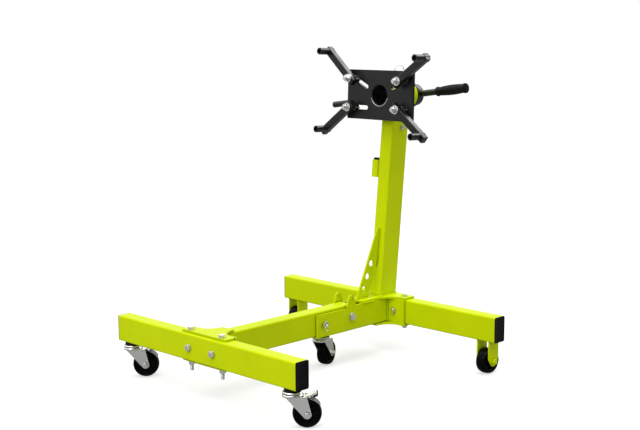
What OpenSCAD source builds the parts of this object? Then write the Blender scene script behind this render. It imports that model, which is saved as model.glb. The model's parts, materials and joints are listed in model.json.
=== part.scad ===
// Folding engine stand: a T-shaped base on five wheels, a leaning mast and a
// rotating head with four slotted mounting arms. +Z is up, the arms face -Y,
// and the origin is on the floor under the centre of the stand's outline.

/* [Base] */
// Height of the beams, and depth of the mast
beam_h = 75; // [70:1:80]
// Width of the beams and of the mast
beam_w = 45; // [42:1:48]
// Wall thickness of the beams and the mast
wall = 3; // [2:0.5:4]
// Outside corner radius of the beams and the mast
corner_r = 5; // [4.5:0.5:7]
// Length of the front cross beam over its end plugs
front_len = 735; // [650:5:800]
// Length of the rear cross beam over its end plugs
rear_len = 870; // [800:5:950]
// Distance from the front beam's front face to the rear beam's front face
base_depth = 730; // [715:5:780]
// Height of the rear beam's underside above the floor
rear_z = 98; // [97:1:100]
// Step from the rear beam's underside up to the folding frame's underside
fold_step = 5; // [5:1:8]

/* [Fold] */
// Length of the open channel that the folding beam lies in
channel_open = 193; // [185:1:200]
// Wall thickness of the channel
channel_t = 6; // [5:0.5:8]
// Thickness of the channel's floor
floor_t = 4; // [3:0.5:4.5]
// How much lower the open part of the walls is than the rest
wall_drop = 5; // [3:1:8]
// Gap between the folding beam and each channel wall
side_gap = 1.5; // [1.2:0.1:2]
// Distance from the channel's front end to the pivot bolt
pivot_in = 146; // [140:1:150]
// Distance from the pivot to the ear hole that holds the folded frame
ear_reach = 52; // [50:1:60]

/* [Mast and head] */
// Backward lean of the mast, in degrees
mast_lean = 5.9; // [5:0.1:7]
// Height of the head's axis above the floor
head_z = 792.5; // [760:0.5:820]
// Distance from the front beam's front face to the face plate's front
head_y = 717.5; // [715:0.5:722]
// Upward tilt of the head's front, in degrees
head_tilt = 2; // [0:0.5:3]
// Width of the face plate
plate_w = 260; // [250:1:280]
// Height of the face plate
plate_h = 150; // [145:1:170]
// Thickness of the face plate
plate_t = 10; // [8:1:12]
// Outside radius of the rotating tube
spin_r = 33; // [32:0.5:34]
// Outside radius of the collar that the tube turns in
collar_r = 38; // [37:0.5:40]
// Tilt of the turning bar from level, in degrees
bar_tilt = 7.6; // [0:0.1:15]

/* [Arms] */
// Distance of each arm's bolt from the plate's centre line
upper_left_x = 102; // [80:0.5:104.5]
upper_right_x = 93.5; // [80:0.5:104.5]
lower_left_x = 104; // [80:0.5:104.5]
lower_right_x = 90; // [80:0.5:104.5]
// Angle of each arm from level, in degrees
upper_left_angle = 42; // [20:0.5:45]
upper_right_angle = 35.5; // [20:0.5:45]
lower_left_angle = 37; // [20:0.5:45]
lower_right_angle = 38; // [20:0.5:45]
// Distance from an arm's bolt to its end tube
arm_reach = 119; // [105:1:150]
// Length that an end tube stands out in front of its arm
arm_tube_len = 38; // [30:1:70]
// Radius of the bore in an end tube
arm_bore_r = 6.5; // [5:0.1:7]
// Width of the slots in the face plate
slot_w = 13; // [12.6:0.1:14]

/* [Wheels] */
// Radius of every wheel
wheel_r = 37.5; // [37:0.1:38]
// Width of every wheel's tread
wheel_w = 33; // [30:1:35]
// Distance of each front caster's swivel axis from the centre line
caster_x = 330; // [320:1:335]
// Distance of each rear wheel's centre from the centre line
rear_wheel_x = 392; // [380:1:395]
// Offset of a caster's axle from its swivel axis
trail = 37; // [36:0.5:38]
// Heading of the two front casters, in degrees from +X
front_turn = 45; // [0:1:360]
// Heading of the centre caster, in degrees from +X
centre_turn = 110; // [0:1:360]

/* [Hidden] */
$fn = 48;
gap = 0.05;          // air between pieces that touch
run = 0.05;          // radial running clearance
eps = 1;             // overrun of every cut
lime = [0.72, 0.84, 0.02];
black = [0.07, 0.07, 0.08];
zinc = [0.74, 0.74, 0.72];
steel = [0.45, 0.45, 0.46];
rubber = [0.05, 0.05, 0.05];

// Fasteners
m8 = 8;
m10 = 10;
m12 = 12;
washer_t = 2;
head_ratio = 0.64;   // head height over thread diameter
nut_ratio = 0.8;     // nut height over thread diameter
bolt_tail = 16;      // thread standing past the clamped pieces
front_deck_tail = 27;
rear_deck_tail = 13;

// Base
plug_t = 3;          // end plug's visible thickness
plug_in = 14;        // end plug's length inside the beam
plate_6 = 6;         // bracket plates
flare_r = 57;        // concave flare of the bracket plates
front_z = rear_z + fold_step;
front_mid = front_z + beam_h / 2;
rear_mid = rear_z + beam_h / 2;
rear_top = rear_z + beam_h;
front_top = front_z + beam_h;
deck_z = rear_top + plate_6;
front_plate_w = 180;
front_plate_y = 10.6;
rear_plate_w = 192;
face_bolt_x = 49;
deck_bolt_x = 64;
deck_bolt_y = beam_w / 2;
rear_face_bolt_x = 54;
rear_deck_bolt_x = 75;
rear_deck_bolt_y = base_depth + beam_w / 2;

// Fold
channel_w = beam_w + 2 * (side_gap + channel_t);
deck_y = base_depth - plate_6 - 114;             // front edge of the deck plate
channel_y = deck_y - channel_open;
pivot_y = channel_y + pivot_in;
pivot_z = front_mid;
sleeve_r = 10;
ear_r = 13;
lock_r = 5;
lock_y = channel_y + 24;
lock_boss_r = 10;
lock_boss_t = 3;
lock_drawn = 5;      // how far the lock pin stands out of its locked place

// Mast
mast_y = base_depth + 5.8;                       // centre of the mast's foot
storage_r = 17;
storage_wall = 3;
storage_len = 53;
storage_s = 359;     // height of the storage tube along the mast
side_screw_s = 516;  // height of the side screw along the mast
side_screw_y = 8;
gusset_t = 6;

// Head, measured from the face plate's front on the head's axis
spin_wall = 3;
spin_len = 170;
spin_recess = 3;     // from the face plate's front to the tube's front end
collar_y = 20;
collar_len = 116;
stop_ring_gap = 0.5; // from the collar to the ring that keeps the tube in it
stop_ring_t = 8;
stop_ring_r = 40;
bar_y = 155.5;
bar_r = 10;
bar_left = 339;
bar_right = 206;
grip_from = 100;
grip_to = 211;
index_y = 88.5;
index_r = 5;
index_count = 8;
house_r = 10;
house_top = 54;
house_cap = 3;
house_bore = 7.2;
stem_r = 3;
flange_t = 1.5;
flange_w = house_top - house_cap - 7.5;          // underside of the raised flange
pin_tip = spin_r + 1;
eye_w = 63;
eye_r = 4;
ring_r = 14;
ring_wire = 1.1;
wire_r = 0.6;

// Arms
arm_w = 22;
arm_d = 20;
arm_gap = 10;        // from the face plate to the arms, filled by a nut
arm_back = 20;       // arm's length past its bolt
upper_over = 10;     // arms' length past their end tubes
lower_over = 17;
arm_tube_r = 10.5;
big_washer_r = 13;
big_washer_t = 2.5;
upper_z = 48.8;      // height of the upper slots' outer parts, at slot_mid
slot_mid = 102;
lower_z = -39.4;
slot_in = 52;        // slots' inner and outer ends, across the plate
slot_out = 105;
slot_rise = tan(26.5);

// Casters, measured from the floor under the swivel axis
leg_t = 2.5;
leg_gap = 18.5;      // half the space between a fork's legs
fork_z = 80;
fork_t = 3;
race_r = 25;
race_top = 92.5;
king_r = 5;
boss_caster_r = 20;
stem_caster_r = 6;
stem_up = 15;        // the front stems' length above the beam's underside
axle_r = 4;
leg_tip_r = 11;
brake_x = 30;
brake_z = 79;
brake_pin_r = 2.5;
brake_hub_r = 4;
brake_slope = 19;
rear_axle_r = 5;
bracket_t = 4;
bracket_w = 44;

front_y = -(head_y + spin_len - (washer_t + head_ratio * m10)) / 2;

// ---------------------------------------------------------------- places

// From the front beam's front face to the stand's origin
module stand() {
    translate([0, front_y, 0]) children();
}

// Along the mast: X across, Y towards its back, Z up its length from the foot
module on_mast() {
    translate([0, mast_y, deck_z]) rotate([-mast_lean, 0, 0]) children();
}

// On the head's axis, Y backwards from the face plate's front
module on_head() {
    translate([0, head_y, head_z]) rotate([-head_tilt, 0, 0]) children();
}

// At an arm's bolt, X towards the arm's end
module on_arm(side, level) {
    x = level > 0 ? (side < 0 ? upper_left_x : upper_right_x)
                  : (side < 0 ? lower_left_x : lower_right_x);
    on_head() translate([side * x, 0, level > 0 ? slot_z(x) : lower_z]) children();
}

// Under a swivel axis, X towards the axle
module on_caster(x, y, turn) {
    translate([x, y, 0]) rotate(turn) children();
}

// Extrudes a section (across, up) along X or along Y
module along_x(len) {
    rotate([90, 0, 90]) linear_extrude(len, center = true) children();
}

module along_y(from, to) {
    translate([0, to, 0]) rotate([90, 0, 0]) linear_extrude(to - from) children();
}

// A cylinder along X or Y, centred
module rod_x(r, len) {
    rotate([0, 90, 0]) cylinder(r = r, h = len, center = true);
}

module rod_y(r, from, to) {
    translate([0, from, 0]) rotate([-90, 0, 0]) cylinder(r = r, h = to - from);
}

// ---------------------------------------------------------------- sections

module rounded(w, h, r) {
    square([w - 2 * r, h], center = true);
    square([w, h - 2 * r], center = true);
    for (x = [-1, 1], y = [-1, 1])
        translate([x * (w / 2 - r), y * (h / 2 - r)]) circle(r);
}

module tube_section() {
    difference() {
        rounded(beam_w, beam_h, corner_r);
        rounded(beam_w - 2 * wall, beam_h - 2 * wall, corner_r - wall);
    }
}

// Point where a line from p touches a circle of radius r about c
function touch(p, c, r, side) =
    let (d = p - c, a = atan2(d.y, d.x) + side * acos(r / norm(d)))
    c + r * [cos(a), sin(a)];

// A plate that narrows from the edge p-q to a round tip on the right of p-q
module tapered(p, q, c, r) {
    polygon([p, q, touch(q, c, r, -1), touch(p, c, r, 1)]);
    translate(c) circle(r);
}

// A T-shaped plate: a stem along Y, flared into a cross piece
module flared(stem_w, stem_len, cross_w, cross_d) {
    translate([-stem_w / 2, 0]) square([stem_w, cross_d + stem_len]);
    translate([0, cross_d / 2]) rounded(cross_w, cross_d, 4);
    for (s = [-1, 1]) difference() {
        translate([s * (stem_w + flare_r) / 2, cross_d + flare_r / 2 - eps / 2])
            square([flare_r, flare_r + eps], center = true);
        translate([s * (stem_w / 2 + flare_r), cross_d + flare_r]) circle(flare_r);
    }
}

// ---------------------------------------------------------------- fasteners

// Hexagon, chamfered at its top
module hex(af, h) {
    face = 0.475 * af;
    intersection() {
        cylinder(d = af / cos(30), h = h, $fn = 6);
        cylinder(r1 = face + h * sqrt(3), r2 = face, h = h);
    }
}

function af(d) = d == m8 ? 13 : d == m10 ? 16 : 18;

module washer(d, r, t) {
    difference() {
        cylinder(r = r, h = t);
        translate([0, 0, -eps]) cylinder(d = d + 0.4, h = t + 2 * eps);
    }
}

module bolt(d, len) {
    hex(af(d), head_ratio * d);
    translate([0, 0, -len]) cylinder(d = d, h = len);
}

module nut(d) {
    mirror([0, 0, 1]) difference() {
        hex(af(d), nut_ratio * d);
        translate([0, 0, -eps]) cylinder(d = d + 2 * run, h = nut_ratio * d + 2 * eps);
    }
}

// Bolt, two washers and nut that clamp the span from z = 0 down to -grip
module clamped(d, grip, tail = bolt_tail) {
    lift = washer_t + 2 * gap;
    translate([0, 0, lift]) bolt(d, grip + tail + lift);
    translate([0, 0, gap]) washer(d, d, washer_t);
    translate([0, 0, -grip - gap - washer_t]) washer(d, d, washer_t);
    translate([0, 0, -grip - lift]) nut(d);
}

// Ring of round wire, lying flat
module wire_ring(r, wire) {
    rotate_extrude() translate([r, 0]) circle(wire, $fn = 16);
}

// ---------------------------------------------------------------- beams

module cross_beam(len, z, y, holes_y, holes_z) {
    translate([0, y + beam_w / 2, z + beam_h / 2]) difference() {
        along_x(len - 2 * plug_t) tube_section();
        for (x = holes_y) translate([x, 0, 0]) rod_y(m10 / 2 + 0.5, -beam_w, beam_w);
        for (p = holes_z) translate([p.x, p.y - beam_w / 2, 0])
            cylinder(r = m10 / 2 + 0.5, h = 2 * beam_h, center = true);
        if (holes_z[0].y == deck_bolt_y) for (s = [-1, 1])
            translate([s * caster_x, 0, -beam_h / 2])
                cylinder(r = stem_caster_r + 0.25, h = 4 * wall, center = true);
    }
}

module plugs(len, z, y) {
    inner_w = beam_w - 2 * (wall + gap);
    inner_h = beam_h - 2 * (wall + gap);
    for (s = [-1, 1])
        translate([s * len / 2, y + beam_w / 2, z + beam_h / 2]) mirror([s < 0 ? 1 : 0, 0, 0]) {
            translate([-plug_t / 2 + gap / 2, 0, 0])
                along_x(plug_t - gap) rounded(beam_w, beam_h, corner_r);
            translate([-plug_t - plug_in / 2 + gap, 0, 0])
                along_x(plug_in) rounded(inner_w, inner_h, corner_r - wall);
        }
}

module front_beam() {
    color(lime) stand()
        cross_beam(front_len, front_z, 0, [-face_bolt_x, face_bolt_x],
            [for (s = [-1, 1]) [s * deck_bolt_x, deck_bolt_y]]);
}

module front_beam_plugs() {
    color(black) stand() plugs(front_len, front_z, 0);
}

module rear_beam() {
    color(lime) stand()
        cross_beam(rear_len, rear_z, base_depth, [-rear_face_bolt_x, rear_face_bolt_x],
            [for (s = [-1, 1]) [s * rear_deck_bolt_x, rear_deck_bolt_y - base_depth]]);
}

module rear_beam_plugs() {
    color(black) stand() plugs(rear_len, rear_z, base_depth);
}

// Folding beam: its rear end is a half circle about the pivot
module centre_beam() {
    from = beam_w + plate_6 + gap;
    color(lime) stand() difference() {
        union() {
            translate([0, 0, front_mid]) along_y(from, pivot_y) tube_section();
            for (s = [-1, 1]) translate([s * (beam_w - wall) / 2, pivot_y, pivot_z])
                rod_x(beam_h / 2, wall);
        }
        translate([0, pivot_y, pivot_z]) rod_x(sleeve_r + gap, 2 * beam_w);
        translate([0, pivot_y - ear_reach, pivot_z]) rod_x(lock_r + 0.2, 2 * beam_w);
        translate([0, lock_y, pivot_z]) rod_x(lock_r + 0.2, 2 * beam_w);
    }
}

module pivot_sleeve() {
    color(steel) stand() translate([0, pivot_y, pivot_z]) difference() {
        rod_x(sleeve_r, beam_w);
        rod_x(m12 / 2 + run, beam_w + 2 * eps);
    }
}

// ---------------------------------------------------------------- brackets

// Top, bottom and end plates that join the centre beam to the front beam
module front_bracket() {
    cross_d = beam_w - 1 - front_plate_y;
    color(lime) stand() difference() {
        union() {
            for (z = [front_top + gap, front_z - plate_6 - gap])
                translate([0, front_plate_y, z]) linear_extrude(plate_6)
                    flared(beam_w, flare_r, front_plate_w, cross_d);
            translate([-front_plate_w / 2, beam_w + gap, front_z - plate_6 - gap])
                cube([front_plate_w, plate_6 - gap, beam_h + 2 * (plate_6 + gap)]);
        }
        for (s = [-1, 1]) {
            translate([s * deck_bolt_x, deck_bolt_y, front_mid])
                cylinder(r = m10 / 2 + 0.5, h = 2 * beam_h, center = true);
            translate([s * face_bolt_x, 0, front_mid])
                rod_y(m10 / 2 + 0.5, 0, 2 * beam_w);
        }
    }
}

// Deck plate over the channel and the rear beam, end plate and bottom plate
module rear_bracket() {
    back = base_depth + beam_w;
    stem = base_depth - deck_y;
    color(lime) stand() difference() {
        union() {
            translate([0, back, rear_top + gap]) mirror([0, 1, 0])
                linear_extrude(plate_6 - gap) flared(channel_w, stem, rear_plate_w, beam_w);
            translate([0, back, rear_z - plate_6 - gap]) mirror([0, 1, 0])
                linear_extrude(plate_6) flared(channel_w, flare_r, rear_plate_w, beam_w);
            translate([-rear_plate_w / 2, base_depth - plate_6, rear_z - plate_6])
                cube([rear_plate_w, plate_6 - gap, beam_h + plate_6 + eps]);
        }
        for (s = [-1, 1]) {
            translate([s * rear_deck_bolt_x, rear_deck_bolt_y, rear_mid])
                cylinder(r = m10 / 2 + 0.5, h = 2 * beam_h, center = true);
            translate([s * rear_face_bolt_x, base_depth, rear_mid])
                rod_y(m10 / 2 + 0.5, -beam_w, beam_w);
        }
    }
}

module face_bolts(x, y, z) {
    for (s = [-1, 1]) translate([s * x, y, z]) rotate([90, 0, 0])
        clamped(m10, beam_w + plate_6 + gap);
}

module deck_bolts(x, y, z, tail) {
    for (s = [-1, 1]) translate([s * x, y, z])
        clamped(m10, beam_h + 2 * (plate_6 + gap), tail);
}

module front_face_bolts() {
    color(zinc) stand() face_bolts(face_bolt_x, 0, front_mid);
}

module front_deck_bolts() {
    color(zinc) stand()
        deck_bolts(deck_bolt_x, deck_bolt_y, front_top + plate_6 + gap, front_deck_tail);
}

module rear_face_bolts() {
    color(zinc) stand() face_bolts(rear_face_bolt_x, base_depth - plate_6, rear_mid);
}

module rear_deck_bolts() {
    color(zinc) stand()
        deck_bolts(rear_deck_bolt_x, rear_deck_bolt_y, deck_z, rear_deck_tail);
}

// ---------------------------------------------------------------- fold

module channel_section() {
    inner_w = channel_w - 2 * channel_t;
    difference() {
        union() {
            translate([0, beam_h / 2]) rounded(channel_w, beam_h, corner_r);
            translate([-channel_w / 2, beam_h / 2]) square([channel_w, beam_h / 2]);
        }
        translate([-inner_w / 2, floor_t]) square([inner_w, beam_h]);
    }
}

// Open channel with an ear on each wall above the pivot
module rear_channel() {
    ear_z = pivot_z + ear_reach;
    color(lime) stand() difference() {
        union() {
            translate([0, 0, rear_z])
                along_y(channel_y, base_depth - plate_6 - gap) channel_section();
            for (s = [-1, 1])
                translate([s * (channel_w - channel_t) / 2, pivot_y, 0]) along_x(channel_t)
                    tapered([1.5 * ear_r, rear_top - eps], [-1.5 * ear_r, rear_top - eps],
                        [0, ear_z], ear_r);
        }
        translate([-channel_w, channel_y - eps, rear_top - wall_drop])
            cube([2 * channel_w, pivot_in - 1.4 * ear_r, beam_h]);
        translate([0, pivot_y, pivot_z]) rod_x(m12 / 2 + 0.2, 2 * channel_w);
        translate([0, pivot_y, ear_z]) rod_x(lock_r + 0.2, 2 * channel_w);
        translate([channel_w / 2, lock_y, pivot_z]) rod_x(lock_r + run, 4 * channel_t);
        translate([0, channel_y + beam_w, rear_z])
            cylinder(r = stem_caster_r + 0.25, h = 4 * channel_t, center = true);
    }
}

module pivot_bolt() {
    color(zinc) stand() translate([channel_w / 2, pivot_y, pivot_z]) rotate([0, 90, 0])
        clamped(m12, channel_w);
}

module fold_pin_boss() {
    color(lime) stand() translate([channel_w / 2 + gap + lock_boss_t / 2, lock_y, pivot_z])
        difference() {
            rod_x(lock_boss_r, lock_boss_t);
            rod_x(lock_r + run, lock_boss_t + 2 * eps);
        }
}

// Pull pin, drawn clear of the folding beam, with a tab for its ring
module fold_pin() {
    head_x = channel_w / 2 + gap + lock_boss_t + lock_drawn;
    tip_x = beam_w / 2 + 0.4;
    head_r = 9;
    head_t = 5;
    color(zinc) stand() translate([0, lock_y, pivot_z]) {
        difference() {
            union() {
                translate([tip_x + 2, 0, 0]) rotate([0, 90, 0])
                    cylinder(r = lock_r, h = head_x - tip_x);
                translate([tip_x, 0, 0]) rotate([0, 90, 0])
                    cylinder(r1 = lock_r - 2, r2 = lock_r, h = 2);
                translate([head_x, 0, 0]) rotate([0, 90, 0]) cylinder(r = head_r, h = head_t);
                translate([head_x + head_t, 0, -5]) rotate([90, 0, 0])
                    cylinder(r = 4, h = 3, center = true);
            }
            translate([head_x + head_t + 1.5, 0, -5]) rotate([90, 0, 0])
                cylinder(r = 1.6, h = 8, center = true);
        }
    }
}

module fold_pin_ring() {
    ring_x = channel_w / 2 + gap + lock_boss_t + lock_drawn + 6.5;
    color(zinc) stand() translate([ring_x, lock_y, pivot_z - 5 - 7.5])
        rotate([0, 90, 0]) wire_ring(7.5, 1);
}

// ---------------------------------------------------------------- wheels

module wheel(bore) {
    hub_half = leg_gap - 0.2;
    rotate([90, 0, 0]) rotate_extrude($fn = 72) {
        translate([bore + run, -hub_half]) square([12 - bore - run, 2 * hub_half]);
        translate([11, -7]) square([17, 14]);
        translate([wheel_r - 6, 0]) rounded(12, wheel_w, 4.5);
    }
}

module axle(r, half) {
    d = 2 * r;
    rotate([-90, 0, 0]) translate([0, 0, half + gap]) bolt(d, 2 * half + 2 * gap + 0.9 * d);
    rotate([90, 0, 0]) translate([0, 0, half + gap]) rotate([180, 0, 0]) nut(d);
}

// King bolt, boss and the stem that goes through the plate above
module caster_mount(top, stem_top) {
    translate([0, 0, race_top + 0.3]) cylinder(r = boss_caster_r, h = top - race_top - 0.3 - gap);
    translate([0, 0, fork_z - 1]) cylinder(r = king_r, h = race_top - fork_z + 2);
    translate([0, 0, fork_z - 3.3]) cylinder(r = 8, h = 3);
    translate([0, 0, race_top + 1]) cylinder(r = stem_caster_r, h = stem_top - race_top - 1);
}

// Stamped fork under a two-part swivel race
module caster_fork(braked) {
    top = fork_z + fork_t;
    difference() {
        union() {
            translate([0, 0, fork_z]) cylinder(r = race_r - 1, h = fork_t);
            translate([0, 0, top - gap]) rotate_extrude() difference() {
                union() {
                    square([race_r - 2, race_top - top + gap]);
                    translate([race_r - 2.5, 2.5]) circle(2.5);
                    translate([race_r - 4, 7]) circle(2.5);
                }
                translate([race_r, -eps]) square([eps, 2 * eps]);
            }
            for (s = [-1, 1]) translate([0, s * (leg_gap + leg_t / 2), 0]) rotate([90, 0, 0])
                linear_extrude(leg_t, center = true)
                    tapered([-18, top], [trail, top], [trail, wheel_r], leg_tip_r);
            translate([0, -leg_gap - leg_t, fork_z])
                cube([17, 2 * (leg_gap + leg_t), fork_t]);
        }
        translate([0, 0, fork_z - eps]) cylinder(r = king_r + run, h = race_top);
        translate([trail, 0, wheel_r]) rod_y(axle_r + 0.1, -2 * race_r, 2 * race_r);
        if (braked) translate([brake_x, 0, brake_z])
            rod_y(brake_pin_r + run, -2 * race_r, 2 * race_r);
    }
}

// Toe brake: a hub between the legs, a sloped arm and a tread pad
module caster_brake() {
    translate([brake_x, 0, brake_z]) {
        rod_y(brake_hub_r, -leg_gap + 0.5, leg_gap - 0.5);
        rod_y(brake_pin_r, -leg_gap - leg_t - 0.8, leg_gap + leg_t + 0.8);
        rotate([0, -brake_slope, 0]) {
            translate([0, -12, -1.5]) cube([24, 24, 3]);
            translate([20, -14, -1.5]) cube([14, 28, 4.5]);
            for (x = [23, 27, 31]) translate([x, -14, 2]) cube([1.5, 28, 2]);
        }
    }
}

module on_front_left() {
    color(zinc) stand() on_caster(-caster_x, beam_w / 2, front_turn) children();
}

module on_front_right() {
    color(zinc) stand() on_caster(caster_x, beam_w / 2, front_turn) children();
}

module on_centre() {
    color(zinc) stand() on_caster(0, channel_y + beam_w, centre_turn) children();
}

module on_rear(side) {
    stand() translate([side * rear_wheel_x, base_depth + beam_w / 2, wheel_r])
        rotate(90) children();
}

module front_left_caster_mount() { on_front_left() caster_mount(front_z, front_z + stem_up); }
module front_left_fork() { on_front_left() caster_fork(true); }
module front_left_axle() {
    on_front_left() translate([trail, 0, wheel_r]) axle(axle_r, leg_gap + leg_t);
}
module front_left_wheel() {
    color(rubber) on_front_left() translate([trail, 0, wheel_r]) wheel(axle_r);
}
module front_left_brake() { on_front_left() caster_brake(); }

module front_right_caster_mount() { on_front_right() caster_mount(front_z, front_z + stem_up); }
module front_right_fork() { on_front_right() caster_fork(true); }
module front_right_axle() {
    on_front_right() translate([trail, 0, wheel_r]) axle(axle_r, leg_gap + leg_t);
}
module front_right_wheel() {
    color(rubber) on_front_right() translate([trail, 0, wheel_r]) wheel(axle_r);
}
module front_right_brake() { on_front_right() caster_brake(); }

module centre_caster_mount() { on_centre() caster_mount(rear_z, rear_z + floor_t); }
module centre_fork() { on_centre() caster_fork(false); }
module centre_axle() {
    on_centre() translate([trail, 0, wheel_r]) axle(axle_r, leg_gap + leg_t);
}
module centre_wheel() {
    color(rubber) on_centre() translate([trail, 0, wheel_r]) wheel(axle_r);
}

// Two plates per rear wheel, welded under the beam
module rear_wheel_bracket(side) {
    top = rear_z - wheel_r - gap;
    color(lime) on_rear(side) for (s = [-1, 1])
        translate([0, s * (leg_gap + bracket_t / 2), 0]) rotate([90, 0, 0])
            linear_extrude(bracket_t, center = true) difference() {
                union() {
                    translate([-bracket_w / 2, 8]) square([bracket_w, top - 8]);
                    tapered([-bracket_w / 2, 8 + gap], [bracket_w / 2, 8 + gap], [0, -4], leg_tip_r);
                }
                circle(rear_axle_r + 0.1);
            }
}

module rear_left_bracket() { rear_wheel_bracket(-1); }
module rear_right_bracket() { rear_wheel_bracket(1); }
module rear_left_axle() { color(zinc) on_rear(-1) axle(rear_axle_r, leg_gap + bracket_t); }
module rear_right_axle() { color(zinc) on_rear(1) axle(rear_axle_r, leg_gap + bracket_t); }
module rear_left_wheel() { color(rubber) on_rear(-1) wheel(rear_axle_r); }
module rear_right_wheel() { color(rubber) on_rear(1) wheel(rear_axle_r); }

// ---------------------------------------------------------------- mast

// Square-cut foot on the deck, top coped around the collar
module mast() {
    color(lime) stand() difference() {
        on_mast() translate([0, 0, -beam_w]) linear_extrude(beam_w + head_z - deck_z)
            tube_section();
        translate([-beam_w, mast_y - beam_h, deck_z - 2 * beam_h + gap])
            cube([2 * beam_w, 2 * beam_h, 2 * beam_h]);
        on_head() rod_y(collar_r + gap, 0, 2 * spin_len);
        on_mast() translate([beam_w / 2, side_screw_y, side_screw_s])
            rod_x(m8 / 2 + 0.1, 4 * wall);
    }
}

// Web with three lightening holes, open behind its foot
module mast_gusset() {
    foot_front = mast_y - 121;
    foot_back = mast_y - 71;
    tip_z = deck_z + 206;
    tip_y = mast_y - 28;
    window_z = deck_z + 119;
    face = mast_y - beam_h / 2 / cos(mast_lean) - gap;
    lean = tan(mast_lean);
    color(lime) stand() difference() {
        along_x(gusset_t) polygon([
            [foot_front, deck_z + gap], [foot_back, deck_z + gap],
            [face + lean * (window_z - deck_z), window_z],
            [face + lean * (tip_z - deck_z), tip_z],
            [tip_y, tip_z]
        ]);
        for (k = [0 : 2]) translate([0, mast_y - 89 + 17 * k, deck_z + 27 + 38 * k])
            rod_x(10, 4 * gusset_t);
    }
}

module mast_side_screw() {
    color(zinc) stand() on_mast() translate([beam_w / 2 + gap, side_screw_y, side_screw_s])
        rotate([0, 90, 0]) {
            washer(m8, m8, 1.5);
            translate([0, 0, 1.5 + gap]) bolt(m8, 14);
        }
}

module on_storage() {
    color(lime) stand() on_mast()
        translate([-beam_w / 2 - storage_r - gap, storage_r - beam_h / 2, storage_s]) children();
}

module storage_tube() {
    on_storage() difference() {
        cylinder(r = storage_r, h = storage_len);
        translate([0, 0, -eps]) cylinder(r = storage_r - storage_wall, h = storage_len + 2 * eps);
    }
}

module storage_plug() {
    r = storage_r - storage_wall - gap;
    color(black) on_storage() {
        translate([0, 0, storage_len - 12]) cylinder(r = r, h = 17);
        translate([0, 0, storage_len + 4]) cylinder(r1 = r, r2 = r - 2, h = 2.5);
    }
}

// ---------------------------------------------------------------- head

module head_collar() {
    color(lime) stand() on_head() difference() {
        rod_y(collar_r, collar_y, collar_y + collar_len);
        rod_y(spin_r + run, 0, 2 * spin_len);
        translate([0, index_y, 0]) cylinder(r = index_r + run, h = 2 * collar_r);
    }
}

module index_housing() {
    color(zinc) stand() on_head() difference() {
        translate([0, index_y, 0]) cylinder(r = house_r, h = house_top);
        rod_y(collar_r + gap, 0, 2 * spin_len);
        translate([0, index_y, 0]) cylinder(r = house_bore, h = house_top - house_cap);
        translate([0, index_y, 0]) cylinder(r = stem_r + run, h = 2 * house_top);
    }
}

// Pin, raised clear of the tube, with its flange, stem and eye
module index_pin() {
    color(zinc) stand() on_head() translate([0, index_y, 0]) difference() {
        union() {
            translate([0, 0, pin_tip]) cylinder(r1 = index_r - 1, r2 = index_r, h = 1);
            translate([0, 0, pin_tip + 1]) cylinder(r = index_r, h = flange_w - pin_tip - 1);
            translate([0, 0, flange_w]) cylinder(r = house_bore - 0.2, h = flange_t);
            translate([0, 0, flange_w]) cylinder(r = stem_r, h = eye_w - flange_w);
            translate([0, 0, eye_w]) sphere(eye_r);
        }
        translate([0, 0, eye_w]) rotate([0, 0, 45]) rod_x(2.3, 4 * eye_r);
    }
}

module index_ring() {
    color(zinc) stand() on_head() translate([0, index_y, eye_w + ring_r])
        rotate([0, 0, 45]) rotate([90, 0, 0]) wire_ring(ring_r, ring_wire);
}

// Point at angle a of the wire's section, t turns along the coil
function coil_point(t, a, r, pitch) =
    let (d = r + wire_r * cos(a))
    [d * cos(360 * t), d * sin(360 * t), pitch * t + wire_r * sin(a)];

module index_spring() {
    turns = 3;
    steps = 16;
    sides = 8;
    low = flange_w + flange_t + wire_r + 0.1;
    pitch = (house_top - house_cap - low - wire_r - 0.1) / turns;
    rings = turns * steps;
    points = [for (i = [0 : rings], k = [0 : sides - 1])
        coil_point(i / steps, 360 * k / sides, 5, pitch)];
    walls = [for (i = [0 : rings - 1], k = [0 : sides - 1])
        let (a = i * sides + k, b = i * sides + (k + 1) % sides)
        [a, a + sides, b + sides, b]];
    ends = [[for (k = [0 : sides - 1]) k],
            [for (k = [sides - 1 : -1 : 0]) rings * sides + k]];
    color(steel) stand() on_head() translate([0, index_y, low])
        polyhedron(points, concat(walls, ends));
}

// Tube with a ring of index holes and the two holes for the turning bar
module spin_tube() {
    color(black) stand() on_head() difference() {
        rod_y(spin_r, spin_recess, spin_len);
        rod_y(spin_r - spin_wall, 0, spin_len + eps);
        for (k = [0 : index_count / 2 - 1]) translate([0, index_y, 0])
            rotate([0, 360 / index_count * k, 0])
                cylinder(r = index_r + 0.1, h = 4 * spin_r, center = true);
        translate([0, bar_y, 0]) rotate([0, -bar_tilt, 0]) rod_x(bar_r + run, 4 * spin_r);
    }
}

// Ring on the tube, behind the collar
module stop_ring() {
    from = collar_y + collar_len + stop_ring_gap;
    color(black) stand() on_head() difference() {
        rod_y(stop_ring_r, from, from + stop_ring_t);
        rod_y(spin_r + gap, 0, 2 * spin_len);
    }
}

// A round-ended slot between two points of the face plate
module slot(p, q) {
    d = q - p;
    translate([p.x, 0, p.y]) rod_y(slot_w / 2, -eps, plate_t + eps);
    translate([q.x, 0, q.y]) rod_y(slot_w / 2, -eps, plate_t + eps);
    translate([p.x, -eps, p.y]) rotate([0, -atan2(d.y, d.x), 0])
        translate([0, 0, -slot_w / 2]) cube([norm(d), plate_t + 2 * eps, slot_w]);
}

function slot_z(x) = upper_z + (x - slot_mid) * slot_rise;

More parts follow.
